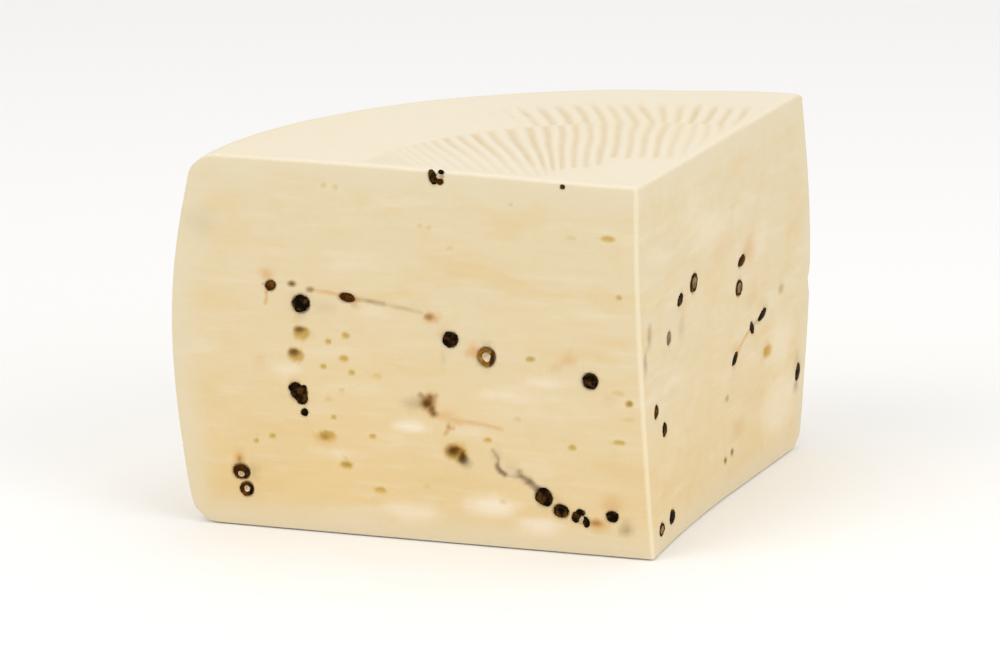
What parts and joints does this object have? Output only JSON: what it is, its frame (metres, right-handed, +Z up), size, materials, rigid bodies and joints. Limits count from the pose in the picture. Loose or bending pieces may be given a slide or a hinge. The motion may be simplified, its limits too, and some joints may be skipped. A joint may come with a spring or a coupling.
{
  "type": "quarter wheel of peppered sheep's-milk cheese",
  "caption": "Quarter cut from a basket-moulded hard cheese wheel, with reed-marked rind, eyes, cracks and black peppercorns in its two cut faces.",
  "frame": {"origin": "middle of the base of the quarter's extent, on the surface it rests on", "axes": "+Z up from the lower rind to the upper one; the front cut faces -Y and the side cut faces +X, five degrees off it; the rind is towards -X and +Y"},
  "size_m": [0.1638, 0.1516, 0.117],
  "materials": {
    "cheese_paste": "cream-coloured cheese paste and rind, waxy and matt, with black peppercorns"
  },
  "bodies": {
    "root": {"pecorino_quarter": "cheese_paste"}
  },
  "joints": []
}
